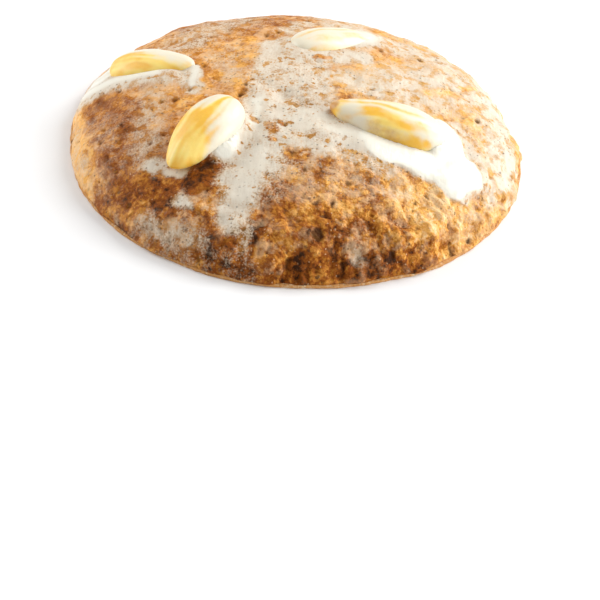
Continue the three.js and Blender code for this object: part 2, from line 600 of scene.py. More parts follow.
@dataclass(frozen=True)
class CrustFinish:
    """Browned spice crust, with the glaze that was brushed over it and ran into pools."""

    # the darkest crust, and the painted shade in the pores and pits
    hollow: Colour = srgb(0x3E1D03)
    shades: tuple[Shade, ...] = (
        Shade(srgb(0x8E4A0A), -0.2, 0.2),
        Shade(srgb(0xC37E2C), 0.15, 0.5),
        Shade(srgb(0xECAE58), 0.45, 0.75),
        Shade(srgb(0xF8D19B), 0.75, 1.1),
    )
    tone: float = 0.43  # of plain crust, on the scale of the shades
    weights: tuple[tuple[str, float], ...] = (
        # painted shade in the creases
        ("crease", -0.24),
        ("film", -0.06),
        # darker crust, partly painted shade on the front and the left side
        ("toast", -0.36),
        # paler crust, partly painted light on the lit right side and the left rim
        ("gold_and_light", 0.28),
    )
    mottle: tuple[Grain, ...] = (Grain(6.0, 0.9), Grain(2.2, 1.1), Grain(0.6, 0.7))
    mottle_crag: Span = (0.65, 1.0)  # how far the mottle counts on calm and on craggy crust
    crumbs: tuple[Grain, ...] = (Grain(1.7, 0.28), Grain(0.6, 0.24))
    crumbs_crag: Span = (0.3, 1.0)
    # flour and sugar, and the painted highlight on the crowns of the lumps
    dust_and_highlight: Colour = srgb(0xEDC598)
    dust: Patch = Patch(Grain(3.4, 0.5, 4.0, 0.65), 0.47, 0.62)  # where flour and sugar dull the crust
    dust_toast: Span = (0.25, 0.6)  # darkening, by toast and painted shade, over which the dust fades out
    # pale dust on the crowns of the lumps, partly painted highlight
    crown_dust_and_highlight: Patch = Patch(Grain(3.4, 0.45, 4.0, 0.65), 0.4, 0.6)
    soaked: Colour = srgb(0xB98C50)  # crust that shows through gaps in the film
    soaked_share: float = 0.68
    soaked_film: Span = (0.3, 0.8)
    sugar: Specks = Specks(0.7, 0.34, 0.4)  # grains of sugar on the bare crust
    sugar_clumps: Patch = Patch(Grain(4.5, 1.0), 0.4, 0.6)
    sugar_crag: Span = (0.3, 0.7)
    # how far painted shade darkens the pores and pits
    pit_shade: float = 0.85
    spice: Colour = srgb(0x54402C)
    coarse: Specks = Specks(2.1, 0.26, 0.5)
    fine: Specks = Specks(0.85, 0.32, 0.6)
    spice_clumps: Patch = Patch(Grain(4.5, 1.0), 0.28, 0.52)
    spice_crust: float = 0.65  # how far specks darken the crust
    spice_film: float = 0.75  # how far they darken the film
    relief: tuple[Grain, ...] = (Grain(0.4, 0.3, 3.0, 0.6), Grain(1.4, 0.7))
    relief_crag: Span = (0.3, 1.7)
    relief_height: float = 0.65  # in millimetres
    dull: Grain = Grain(0.8, 1.0)
    roughness: Span = (0.35, 0.85)
    specular: float = 0.14
    scatter: Colour = (1.0, 0.5, 0.25)
    scatter_share: float = 0.1
    scatter_depth: float = 0.6  # in millimetres
    glaze: GlazeFinish = GlazeFinish()
    pooled: Span = (0.9, 1.25)  # film that counts as a pool
    stained: Span = (0.25, 0.9)  # film over which the crust's tint goes
    gaps: Patch = Patch(Grain(2.3, 0.42), 0.46, 0.68)  # spots where the film is thinner
    gaps_film: Span = (0.1, 0.5)
    gaps_end: Span = (0.8, 1.2)
    flecks: Patch = Patch(Grain(1.6, 0.8), 0.6, 0.68)  # small holes in the film
    flecks_film: Span = (0.3, 0.7)
    ragged: tuple[Grain, ...] = (Grain(3.2, 0.5), Grain(0.36, 1.5))
    ragged_film: Span = (0.0, 0.4)
    ragged_pool: Span = (1.0, 0.3)  # how ragged a film and a pool are
    streaks: Grain = Grain(0.55, 0.35, 3.0)
    stretch: tuple[float, float, float] = (1.0, 0.2, 0.2)  # the brush drew the streaks along Y
    streaks_white: float = 0.35
    streaks_span: Span = (0.4, 0.7)
    residue: Patch = Patch(Grain(2.4, 0.6, 3.0, 0.6), 0.59, 0.72)  # sugar that stuck to the bare crust
    residue_film: Span = (0.0, 0.5)
    pit_gap: float = 0.5  # how far a pit breaks the film
    hides: Span = (0.08, 0.92)  # broken film over which the crust disappears
    opaque: Span = (0.92, 1.0)  # how far a full film and a pool hide the crust
    brush: Grain = Grain(0.9, 0.6, 3.0)
    brush_streaks: float = 0.4  # share of the streaks in the film's relief
    brush_height: float = 0.2  # in millimetres
    brush_strength: float = 0.5
    film_roughness: Span = (0.55, 0.35)

    def colour(self, recipe: Recipe) -> Wire:
        """Mix the bare crust's colour, from painted shade in its creases to pale dust and painted highlight on
        its crowns.

        Args:
            recipe: the material.

        Returns:
            The colour.
        """
        crag = recipe.painted("crag")
        tone = self.tone + recipe.layers(self.mottle) * crag.span(*self.mottle_crag)
        for crumb in self.crumbs:
            tone = tone + crumb.amount * (recipe.crumbs(crumb) - MIDDLE) * crag.span(*self.crumbs_crag)
        # painted shade in the creases, darker crust and painted shade from toast, paler crust and painted light
        # from gold
        for name, weight in self.weights:
            tone = tone + weight * recipe.painted(name)
        colour = self.hollow
        for shade in self.shades:
            colour = recipe.blend(tone.rise(shade.start, shade.full), colour, shade.colour)
        dust = recipe.patches(self.dust) * (1 - recipe.painted("toast").rise(*self.dust_toast))
        # pale dust on the crowns, partly painted highlight
        crowns = recipe.patches(self.crown_dust_and_highlight) * recipe.painted("crown")
        colour = recipe.blend(dust.most(crowns), colour, self.dust_and_highlight)
        soaked = self.soaked_share * recipe.painted("film").rise(*self.soaked_film)
        colour = recipe.blend(soaked, colour, self.soaked)
        sugar = recipe.dots(self.sugar) * recipe.patches(self.sugar_clumps)
        colour = recipe.blend(crag.span(*self.sugar_crag) * sugar, colour, self.dust_and_highlight)
        # painted shade in the pores and pits
        return recipe.blend(self.pit_shade * recipe.painted("pit"), colour, self.hollow)

    def cover(self, recipe: Recipe) -> Wire:
        """Say how far the glaze hides the crust.

        Args:
            recipe: the material.

        Returns:
            A share from 0 to 1.
        """
        film = recipe.painted("film")
        crisp = recipe.painted("crisp")
        thick = film.rise(*self.pooled)
        streaks = self.streaks.amount * (recipe.grain(self.streaks, self.stretch) - MIDDLE)
        ragged = (recipe.layers(self.ragged) + streaks) * crisp
        ragged = ragged * film.rise(*self.ragged_film) * thick.span(*self.ragged_pool)
        residue = recipe.patches(self.residue) * (1 - film.rise(*self.residue_film))
        residue = residue * (1 - recipe.painted("toast"))
        broken = film + ragged + residue - self.pit_gap * recipe.painted("pit")
        gaps = recipe.patches(self.gaps) * film.rise(*self.gaps_film) * (1 - film.rise(*self.gaps_end))
        flecks = recipe.patches(self.flecks) * crisp * film.rise(*self.flecks_film) * (1 - thick)
        broken = broken - gaps - flecks
        return broken.rise(*self.hides) * thick.span(*self.opaque)

    def spices(self, recipe: Recipe) -> tuple[Wire, Wire]:
        """Say where coarse and where fine specks of spice show, from 0 to 1."""
        clumps = recipe.patches(self.spice_clumps)
        return recipe.dots(self.coarse) * clumps, recipe.dots(self.fine) * clumps

    def crust(self, recipe: Recipe, specks: Wire) -> Wire:
        """Add the shader of the bare crust.

        Args:
            recipe: the material.
            specks: where spice shows.

        Returns:
            The shader.
        """
        relief = recipe.layers(self.relief) * recipe.painted("crag").span(*self.relief_crag)
        return recipe.surface(
            {
                "Base Color": recipe.blend(self.spice_crust * specks, self.colour(recipe), self.spice),
                "Roughness": recipe.grain(self.dull).span(*self.roughness),
                "Normal": recipe.bump(relief, self.relief_height),
                "Specular IOR Level": self.specular,
                "Subsurface Weight": self.scatter_share,
                "Subsurface Radius": self.scatter,
                "Subsurface Scale": self.scatter_depth * MM,
            }
        )

    def film(self, recipe: Recipe, specks: Wire) -> Wire:
        """Add the shader of the glaze on the crust.

        Args:
            recipe: the material.
            specks: where spice shows through the film.

        Returns:
            The shader.
        """
        lying = recipe.painted("film")
        thick = lying.rise(*self.pooled)
        drawn = recipe.grain(self.streaks, self.stretch)
        colour = recipe.blend(lying.rise(*self.stained), self.glaze.stained, self.glaze.film)
        colour = recipe.blend(thick, colour, self.glaze.white)
        colour = recipe.blend(self.spice_film * specks * (1 - thick), colour, self.spice)
        whiter = self.streaks_white * (1 - thick) * drawn.rise(*self.streaks_span)
        colour = recipe.blend(whiter, colour, self.glaze.white)
        brushed = self.brush.amount * recipe.grain(self.brush) + self.brush_streaks * drawn
        normal = recipe.bump(brushed, self.brush_height, self.brush_strength)
        return self.glaze.surface(recipe, colour, normal, thick.span(*self.film_roughness))

    def material(self) -> bpy.types.Material:
        """Make the finish of the dough."""
        recipe = Recipe("spiced_crust")
        coarse, fine = self.spices(recipe)
        crust = self.crust(recipe, coarse.most(fine))
        film = self.film(recipe, fine)
        return recipe.served(recipe.over(self.cover(recipe), crust, film))


@dataclass(frozen=True)
class AlmondFinish:
    """Golden blanched almond, with glaze thinning out over it."""

    kernel: Colour = srgb(0xFADA78)
    ripe: Colour = srgb(0xF2BC42)
    pale: Colour = srgb(0xFBE5A6)
    # browned tip, and painted shade along a lower edge
    browned_and_shade: Colour = srgb(0xC9924A)
    blush: Grain = Grain(5.0, 1.0)
    blush_vein: float = 1.1  # how far the lines along the almond sway its blush
    blush_span: Span = (0.3, 0.7)
    pale_share: float = 0.6
    pale_vein: Span = (0.6, 0.8)
    fibres: Grain = Grain(1.2, 0.8, 3.0, 0.6)
    browned_and_shade_span: Span = (0.1, 0.9)
    relief: Grain = Grain(0.7, 0.3)
    relief_vein: float = 0.7  # share of the lines in the relief
    relief_height: float = 0.18  # in millimetres
    roughness: Span = (0.36, 0.52)
    scatter: Colour = (1.0, 0.7, 0.3)
    scatter_share: float = 0.3
    scatter_depth: float = 1.2  # in millimetres
    glaze: GlazeFinish = GlazeFinish()
    film_relief: Grain = Grain(2.0, 1.0)
    film_height: float = 0.08  # in millimetres
    film_roughness: float = 0.38
    thinning: Grain = Grain(1.8, 0.5, 4.0)
    thinning_vein: float = 0.8  # how far the lines along the almond break the film
    hides: Span = (0.2, 0.8)

    def colour(self, recipe: Recipe, vein: Wire, blush: Wire) -> Wire:
        """Mix the bare kernel's colour.

        Args:
            recipe: the material.
            vein: the lines along the almond.
            blush: its broad mottle.

        Returns:
            The colour.
        """
        ripeness = blush + self.blush_vein * (vein - MIDDLE)
        colour = recipe.blend(ripeness.rise(*self.blush_span), self.ripe, self.kernel)
        colour = recipe.blend(self.pale_share * vein.rise(*self.pale_vein), colour, self.pale)
        # browned tip, and painted shade along a lower edge
        browned_and_shade = recipe.painted("browned_and_shade") + recipe.layers((self.fibres,))
        return recipe.blend(browned_and_shade.rise(*self.browned_and_shade_span), colour, self.browned_and_shade)

    def material(self) -> bpy.types.Material:
        """Make the finish of the almonds."""
        recipe = Recipe("blanched_almond")
        vein = recipe.painted("vein")
        blush = recipe.grain(self.blush)
        relief = self.relief_vein * vein + self.relief.amount * recipe.grain(self.relief)
        kernel = recipe.surface(
            {
                "Base Color": self.colour(recipe, vein, blush),
                "Roughness": blush.span(*self.roughness),
                "Normal": recipe.bump(relief, self.relief_height),
                "Subsurface Weight": self.scatter_share,
                "Subsurface Radius": self.scatter,
                "Subsurface Scale": self.scatter_depth * MM,
            }
        )
        smooth = recipe.bump(recipe.grain(self.film_relief), self.film_height)
        film = self.glaze.surface(recipe, self.glaze.cream, smooth, self.film_roughness)
        cover = recipe.painted("film") + recipe.layers((self.thinning,))
        cover = cover + self.thinning_vein * (vein - MIDDLE)
        return recipe.served(recipe.over(cover.rise(*self.hides), kernel, film))


@dataclass(frozen=True)
class WaferFinish:
    """Thin baked wafer: pale sheet, toasted along its edge."""

    sheet: Colour = srgb(0xEBD9B4)
    toasted: Colour = srgb(0xC98E4E)
    toast_span: Span = (0.1, 1.1)
    mottle: Grain = Grain(1.6, 1.2, 4.0, 0.6)
    crumb: Grain = Grain(0.45, 1.6)
    crumb_height: float = 0.4  # in millimetres
    roughness: Span = (0.7, 0.9)

    def material(self) -> bpy.types.Material:
        """Make the finish of the wafer."""
        recipe = Recipe("baked_wafer")
        toast = recipe.painted("edge") + recipe.layers((self.mottle, self.crumb))
        shader = recipe.surface(
            {
                "Base Color": recipe.blend(toast.rise(*self.toast_span), self.sheet, self.toasted),
                "Roughness": recipe.grain(self.mottle).span(*self.roughness),
                "Normal": recipe.bump(recipe.grain(self.crumb), self.crumb_height),
            }
        )
        return recipe.served(shader)


@dataclass(frozen=True)
class FloorFinish:
    """Plain pale floor."""

    pale: Colour = (0.9, 0.9, 0.9)
    roughness: float = 0.9

    def material(self) -> bpy.types.Material:
        """Make the finish of the floor."""
        recipe = Recipe("pale_floor")
        return recipe.served(recipe.surface({"Base Color": self.pale, "Roughness": self.roughness}))


@dataclass(frozen=True)
class Run:
    """Something spread over the biscuit, from one place on the plan to another, in millimetres."""

    start: Place
    end: Place
    reach: float
    amount: float
    shoulder: float = 0.6  # share of the reach over which it comes to its full amount

    def share(self, plan: np.ndarray) -> np.ndarray:
        """Measure how much of it lies at places on the plan.

        Args:
            plan: the places, one a row.

        Returns:
            Its full amount on the middle line, and 0 from its reach on.
        """
        start, line = np.array(self.start), np.subtract(self.end, self.start)
        along = np.clip((plan - start) @ line / max(line @ line, TINY), 0.0, 1.0)
        nearness = 1.0 - np.linalg.norm(plan - start - along[:, None] * line, axis=1) / self.reach
        return self.amount * rise(0.0, self.shoulder, nearness)


def strongest(runs: Sequence[Run], plan: np.ndarray) -> np.ndarray:
    """Lay several runs over each other and keep the largest amount at each place on the plan."""
    return np.max([run.share(plan) for run in runs], axis=0)


def strayed(points: np.ndarray, far: float, fine: float) -> np.ndarray:
    """Move places on the plan a little, so that edges come out uneven.

    Args:
        points: places in millimetres, one a row.
        far: how far the long waves of an edge stray, in millimetres.
        fine: how far the short ones do.

    Returns:
        Places on the plan.
    """
    stray = [
        Wave(far, LONG_WAVE, shift).bumps(points) + Wave(fine, SHORT_WAVE, shift).bumps(points)
        for shift in WAVE_SHIFTS
    ]
    return points[:, :2] + np.array(stray).T


@dataclass(frozen=True)
class Icing:
    """Where the sugar glaze lies: pools by the almonds, films on the crust and caps on the almonds."""

    pools: tuple[Run, ...] = (
        # by the two almonds on the left
        Run((-43.5, 3.2), (-29, 3), 6.0, 0.88, 1.0),
        Run((-42, 7), (-38, 13.4), 5.4, 0.9, 0.8),
        Run((-21.6, 3), (-21.2, -3), 2.6, 0.8, 0.9),
        Run((-11.4, -15), (-13, -23.5), 4.4, 1.0, 1.0),
        # round the almond on the right
        Run((13, -16.8), (20, -18.4), 6.9, 1.0, 1.0),
        Run((17, -17.7), (27, -19.2), 6.6, 1.0, 0.4),
        Run((29.5, -22.5), (32.5, -19.5), 4.8, 1.0, 0.4),
        Run((28, -10), (30.5, -19), 4.0, 1.0, 0.4),
        # in front of the almond at the back
        Run((1, 14), (13, 20.5), 8.5, 0.95, 1.0),
    )
    films: tuple[Run, ...] = (
        # round the almond at the back
        Run((15, 40), (8, 31), 13, 0.7, 1.0),
        Run((2, 37), (4, 31), 8, 0.6, 1.0),
        Run((8, 17), (9, 26), 13, 0.85, 1.0),
        Run((-3, 21), (0, 27), 7, 0.7, 1.0),
        Run((-2, 8), (12, 11), 6, 0.9, 0.9),
        # the broad band down the middle and its tail
        Run((-4, 12), (-5, -6), 8, 0.82),
        Run((0, 8), (2, -10), 9, 0.8),
        Run((-5, -10), (-7, -24), 9, 0.93),
        Run((-8, -8.5), (-8.6, -16), 3.8, 1.14, 1.0),
        Run((-7, -24), (-9.6, -32), 7.0, 1.04, 0.8),
        Run((-11.2, -30), (-10.4, -36.6), 5.0, 0.88, 0.7),
        Run((-8.4, -38), (-8, -42), 2.4, 0.6, 0.9),
        Run((-4, -31), (-3, -33), 4.0, 0.34, 0.9),
        # from the band to the almond on the right
        Run((-2, -20), (6, -21), 6.4, 0.86, 0.9),
        Run((2, -14), (13, -18), 6.5, 1.0),
        Run((6, -16), (14, -18), 5.5, 1.1, 1.0),
        Run((9, 2), (16, -3), 8, 0.76, 0.9),
        # haze in front of it
        Run((1, -27), (18, -27), 9, 0.42, 0.9),
        Run((10, -22.6), (17, -24.6), 4.8, 0.66, 0.9),
        Run((11.4, -40), (12.8, -41), 2.2, 0.5, 0.9),
        # by the two almonds on the left
        Run((-43, 3), (-26, 3), 6, 0.8),
        Run((-22, 2), (-21, -4), 3.4, 0.8),
        Run((-15, 9), (-13, 0), 10, 0.5, 0.9),
        Run((-29, -3), (-28, -20), 11, 0.54, 1.0),
        Run((-26.6, -24.9), (-20.6, -25.6), 4.2, 0.9, 1.0),
        Run((-24, -26.6), (-20.6, -27.8), 1.7, 1.0, 0.8),
        # the rim at the front and on the left
        Run((-20.6, -32.6), (-18.6, -34), 3.0, 0.85, 0.9),
        Run((-27, -36), (-17, -41), 5.2, 0.6, 0.9),
        Run((-20, -42), (-6, -45.2), 3.0, 0.42, 0.9),
        Run((-39, -22), (-31, -33), 4.5, 0.26, 0.9),
        Run((-40, -8), (-32, -20), 10, 0.34, 0.9),
        Run((-46, -4), (-39, -27), 4.4, 0.6, 1.0),
        Run((-27, 13), (-14, 30), 13, 0.6, 0.9),
        # the right side
        Run((20, 2), (34, 10), 20, 0.78, 0.9),
        Run((41, -12), (40, 18), 10, 0.82, 0.9),
        Run((22, 34), (38, 22), 14, 0.66, 0.9),
        Run((31, -8), (37, -20), 7, 0.8, 0.9),
        Run((17, 21), (30, 19), 10, 0.78, 0.9),
        Run((34, -27), (41, -18), 6, 0.48, 0.9),
        Run((43, -8), (42, -17), 5.5, 1.0, 0.9),
    )
    holes: tuple[Run, ...] = (  # bare spots in the films
        Run((-1, -22.4), (1.4, -23.4), 1.9, 0.75, 0.8),
        Run((-5.8, -16.4), (-4.4, -17.2), 1.5, 0.6),
        Run((-8.9, -14.8), (-8.6, -15.3), 1.0, 0.6),
        Run((-4.9, -20.2), (-4.1, -20.4), 0.7, 0.6),
        Run((-3.2, -14.8), (-2.4, -15), 0.8, 0.6),
        Run((3, 8.2), (5.4, 8.9), 0.8, 0.8),
        Run((15.5, 21.2), (18, 21.8), 1.2, 0.7),
        Run((33, 8.5), (37, 12.5), 1.0, 0.6),
        Run((25.5, 2.5), (31.5, 4.6), 2.8, 0.5, 0.9),
    )
    caps: tuple[Run, ...] = (  # glaze on top of the almonds
        Run((-8, -8), (-11.4, -27), 7.6, 1.1, 0.8),
        Run((-19.4, -15.6), (-14.6, -11), 4.4, 0.8, 1.0),
        Run((-14, -9.6), (-9, -8.8), 5.4, 1.1, 0.8),
        Run((-37, 14), (-21.4, 5.6), 6.0, 1.05, 1.0),
        Run((9, -7.5), (10.5, -14), 5.0, 0.7, 1.0),
        Run((8, -14.6), (20, -18.4), 2.8, 0.28, 1.0),
        Run((12, -10.4), (22, -12.5), 5.0, 0.6, 1.0),
        Run((15, -6.6), (25, -7.6), 6.0, 1.1, 0.9),
        Run((23.4, -8), (29, -16.6), 8.0, 1.0, 1.0),
        Run((21.2, -15.2), (23.6, -17), 3.4, 0.66, 1.0),
        Run((-3, 12), (15, 24), 11.0, 0.71, 0.8),
    )
    climbs: tuple[Run, ...] = (  # glaze banked up against them
        Run((-10.5, -17), (-13.5, -24), 6.0, 0.82, 0.7),
        Run((-21.5, 9), (-20.5, 3), 5.0, 0.95),
        Run((-42, 4), (-26, 2), 5.0, 0.35),
        Run((12, -5), (28, -8), 4.5, 0.8),
        Run((29, -9), (30, -18), 6.0, 0.95),
        Run((12, -19.5), (26, -21), 4.0, 0.4),
        Run((-3, 12), (15, 24), 11.0, 0.85),
    )
    grains: tuple[Run, ...] = (  # where the film breaks into grains
        Run((-3, 0), (-10, -40), 14, 1.0),
        Run((2, -14), (14, -20), 9, 1.0),
        Run((-25, -34), (-10, -44), 9, 0.6),
        Run((-30, -10), (-26, -24), 8, 0.6),
        Run((-24, 12), (-8, 28), 18, 0.9),
    )
    soft: float = 0.5  # how grainy the film is elsewhere, as a share
    waver: float = 1.0  # how far the edges of pools and caps stray, in millimetres
    fray: float = 0.6  # how far the edges of films do so besides
    pool_film: float = 1.4  # the film that a full pool counts as

    def pooled(self, points: np.ndarray) -> np.ndarray:
        """Say where the glaze lies thick, from 0 to 1."""
        return strongest(self.pools, strayed(points, self.waver, 0.0))

    def film(self, points: np.ndarray) -> np.ndarray:
        """Say how far glaze hides the crust: up to 1 for a film, and more for a pool."""
        plan = strayed(points, self.waver, self.fray)
        brushed = strongest(self.films, plan) * (1 - strongest(self.holes, plan))
        return np.maximum(brushed, self.pool_film * self.pooled(points))

    def cap(self, points: np.ndarray) -> np.ndarray:
        """Say how far glaze hides an almond, from 0 to 1."""
        return strongest(self.caps, strayed(points, self.waver, 0.0))

    def climb(self, points: np.ndarray) -> np.ndarray:
        """Say how far glaze climbs to the waist of an almond beside it, from 0 to 1."""
        return strongest(self.climbs, strayed(points, self.waver, 0.0))

    def crisp(self, points: np.ndarray) -> np.ndarray:
        """Say how far the film breaks into grains, from 0 to 1."""
        return np.maximum(self.soft, strongest(self.grains, points[:, :2]))


@dataclass(frozen=True)
class Pit:
    """A hollow in the crust: its place on the plan, its radius and its depth, in millimetres."""

    at: Place
    radius: float
    depth: float


@dataclass
class Almond:
    """One blanched almond, pressed into the crust."""

    node: str
    icing: Icing
    rounding: int = 3  # how often the solid's facets are rounded
    swell: Wave = Wave(0.14, 5.5, 12.0)  # uneven swelling of the kernel
    bend: Wave = Wave(0.8, 6.0, 4.0)  # how the fine lines along it bend
    lines: Wave = Wave(1.0, 1.0, 2.0)  # the lines, on a scale of their own size
    line_size: tuple[float, float, float] = (9.0, 1.05, 3.0)  # length, spacing and height, in millimetres
    groove: float = 0.06  # depth of the lines, in millimetres
    browned_and_shade: tuple[Run, ...] = (
        Run((5.2, -10.4), (6.4, -10.7), 1.9, 1.0),
        # painted shade along the lower edge of the almond on the right
        Run((7, -15), (18, -18.8), 3.0, 0.42),
    )

    def axes(self, points: np.ndarray) -> tuple[np.ndarray, np.ndarray]:
        """Find the almond's own directions.

        Args:
            points: its corners, in millimetres.

        Returns:
            Its middle, and its length, width and thickness directions as rows, with the tip on the first.
        """
        middle = points.mean(axis=0)
        _, _, rows = np.linalg.svd(points - middle, full_matrices=False)
        along = (points - middle) @ rows[0]
        if abs(along.min()) > along.max():
            rows[0] = -rows[0]
        return middle, rows

    def build(self, material: bpy.types.Material) -> bpy.types.Object:
        """Model the almond, dress it and set it on its body.

        Args:
            material: the finish that all almonds share.

        Returns:
            The piece.
        """
        kernel = merged_copy(self.node, f"{self.node}_kernel")
        apply_modifier(kernel, "SUBSURF", levels=self.rounding, render_levels=self.rounding)
        mesh = kernel.data
        points = corners(mesh)
        middle, rows = self.axes(points)
        along, side, height = ((points - middle) @ rows.T).T
        bent = np.stack([along, side + self.bend.bumps(points), height], axis=1)
        vein = self.lines.bumps(bent / self.line_size)
        swell = self.swell.bumps(points) + self.groove * vein
        points += outward(mesh) * swell[:, None]
        move_corners(mesh, points)
        paint(mesh, "vein", (1 + vein) / 2)
        # browned tip, and painted shade along a lower edge
        paint(mesh, "browned_and_shade", strongest(self.browned_and_shade, points[:, :2]))
        paint(mesh, "film", self.icing.cap(points))
        settle(kernel, material, "almond", self.node)
        return kernel


@dataclass
class Dough:
    """The domed biscuit under its crust."""

    icing: Icing
    finish: CrustFinish = CrustFinish()
    splits: int = 8  # how often the starting ball is divided
    swell: float = 1.01  # how much larger than the solid it starts
    smoothing: float = 0.5  # how far one pass evens out the wrapped surface, as a share
    smoothing_passes: int = 10
    base_drop: float = 3.0  # how far the solid's wall is drawn down past the cut, in millimetres
    pocket_gap: float = 0.42  # skin nearer than this to an almond is its hollow, in millimetres
    foot: float = 0.4  # how far the lowest edge spreads over the wafer, in millimetres
    foot_height: float = 1.6  # in millimetres
    skirt: float = 0.7  # height over which the relief begins above the wafer, in millimetres
    bank_width: float = 3.0  # how far from an almond the glaze begins to climb it, in millimetres
    waist: float = 0.12  # how little the skin leans up or down where an almond is widest
    bead: float = 0.3  # how high a pool stands above the solid, in millimetres
    pore_count: int = 260
    pore_seed: int = 7
    pore_radius: Span = (0.35, 0.9)  # in millimetres
    pore_depth: float = 0.5  # as a share of its radius
    pore_rims: tuple[Wave, Wave] = (Wave(0.45, 1.1, 40.0), Wave(0.45, 1.1, 60.0))  # uneven along X and Y
    pore_film: Span = (0.7, 1.0)  # film that fills the pores
    crag_bearing: float = math.radians(-50)  # where the crust is roughest, from +X
    calm: float = 0.15  # how rough the side away from the crags is, as a share
    clods: Wave = Wave(0.56, 4.2)  # broad lumps towards the rim
    knobs: Wave = Wave(0.28, 2.2, 5.0)  # smaller ones all over
    ribs: Wave = Wave(0.5, 2.0, 8.0)  # crags of the wall
    rib_stretch: float = 0.45  # less than 1 draws them out up the wall
    grit: Wave = Wave(0.2, 1.0, 9.0)
    lump_band: Span = (0.55, 0.95)  # share of the radius over which the broad lumps begin
    evened: float = 0.85  # share of the roughness that a full film hides
    evened_film: Span = (0.3, 1.2)
    crease: Span = (0.0, 0.6)  # depth over which a crease gets its painted shade, in millimetres
    crown: Span = (0.1, 0.7)  # height over which a crown gets its pale dust and painted highlight, in millimetres
    pit: Span = (0.1, 0.45)  # depth over which a pore gets its painted shade, in millimetres
    rim_front_shade: float = 0.6  # how far painted shade darkens the front of the rim
    rim_band: Span = (0.86, 1.0)  # share of the radius over which it darkens
    worn: float = 0.4  # share of the film that is worn off the rim
    worn_band: Span = (0.94, 1.0)
    front_crag: float = 0.9  # how craggy the front of the rim is
    front_band: Span = (0.4, 0.9)  # share of the radius over which it turns craggy
    # hollows in the crust, which also get painted shade
    pits: tuple[Pit, ...] = (
        Pit((5, -39.5), 1.4, 0.9),
        Pit((7.2, -33.4), 0.8, 0.5),
        Pit((-21.5, -4.4), 0.9, 0.5),
        Pit((-11.4, -6.6), 1.0, 0.5),
        Pit((11, -20.6), 0.6, 0.4),
        Pit((-24.2, -7.2), 0.9, 0.4),
        Pit((-0.5, -23), 1.3, 0.35),
        # painted shadow under the lower end of the front-left almond, with a shallow pit
        Pit((-16, -27), 1.6, 0.3),
        Pit((-27.5, -19.5), 0.7, 0.35),
        Pit((-37.7, -15.7), 0.8, 0.35),
        Pit((-33.8, -13.1), 0.6, 0.3),
        Pit((-25.1, -17.9), 0.6, 0.3),
        Pit((-16.3, -1.3), 0.6, 0.3),
        Pit((24.9, -27.4), 0.7, 0.45),
        Pit((22.9, -29.5), 0.6, 0.4),
        Pit((29.3, -31.2), 0.5, 0.35),
        Pit((9.9, -42.8), 0.9, 0.5),
        Pit((18.8, -39.8), 1.0, 0.7),
        Pit((30.2, -33.7), 0.8, 0.5),
        Pit((33.7, -29.9), 0.7, 0.5),
    )
    toasts_and_shade: tuple[Run, ...] = (  # darker crust, partly painted shade on the front and the left side
        # painted shadow under the lower end of the front-left almond, on darker crust
        Run((-21, -29.5), (-14.5, -27.5), 5, 0.9),
        Run((-31, -27), (-24, -33), 6, 0.6),
        Run((-13, -40), (-9, -42), 5, 0.85),
        Run((2, -45.5), (26, -41.5), 5.0, 0.68),
        Run((-3, -34.5), (5, -39.5), 8.5, 0.42),
        Run((-40, -5), (-33, -14), 8, 0.5),
        Run((-33, -19.5), (-27, -24), 8, 0.5),
        Run((-22, 22), (-8, 30), 12, 0.25),
        Run((-3, -32), (18, -31), 11, 0.22),
    )
    golds_and_light: tuple[Run, ...] = (  # paler, golden crust, partly painted light on the lit right side and the left rim
        Run((-14, 10), (-13, 2), 8, 0.5),
        Run((-18, 24), (-10, 20), 9, 0.1),
        Run((-20, -5), (-21, -9), 4, 0.6),
        Run((5, -30), (22, -30), 10, 0.3),
        Run((10, -23), (18, -25), 4.5, 0.8),
        Run((30, -30), (38, -22), 11, 1.3),
        Run((23, -30), (31, -32), 8, 1.8),
        Run((38, -26), (45, -8), 6, 1.2),
        Run((20, 0), (40, 6), 20, 1.3),
        Run((32, -8), (38, -20), 8, 1.4),
        Run((18, 30), (36, 20), 16, 0.8),
        Run((45, -14), (44, 6), 6, 1.0),
        # painted light on the left rim, with paler crust
        Run((-46.5, 0), (-41, -24), 4.6, 1.6),
    )

    def radius(self) -> float:
        """Measure the solid's radius, in millimetres."""
        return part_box("dough")[1].x / MM

    def solid_skin(self) -> bpy.types.Object:
        """Copy the solid, with the almonds' hollows closed and its wall drawn down past the wafer's top.

        Returns:
            The copy, to wrap the fine surface round.
        """
        skin = merged_copy("dough", "dough_skin")
        mesh = skin.data
        trees = [skin_tree(node.data) for name, node in frame["nodes"].items() if name.startswith("almond")]
        reach = self.pocket_gap * MM
        hollow = [any(t.find_nearest(p.center, reach)[0] for t in trees) for p in mesh.polygons]
        with editing(skin, SelectMode.FACES, np.array(hollow)):
            bpy.ops.mesh.delete(type="FACE")
            bpy.ops.mesh.select_all(action="SELECT")
            bpy.ops.mesh.fill_holes(sides=0)
            bpy.ops.mesh.select_all(action="SELECT")
            bpy.ops.mesh.quads_convert_to_tris()
        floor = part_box("dough")[0].z + WELD
        under = [all(mesh.vertices[i].co.z < floor for i in p.vertices) for p in mesh.polygons]
        with editing(skin, SelectMode.FACES, np.array(under)):
            bpy.ops.transform.translate(value=(0, 0, -self.base_drop * MM))
        return skin

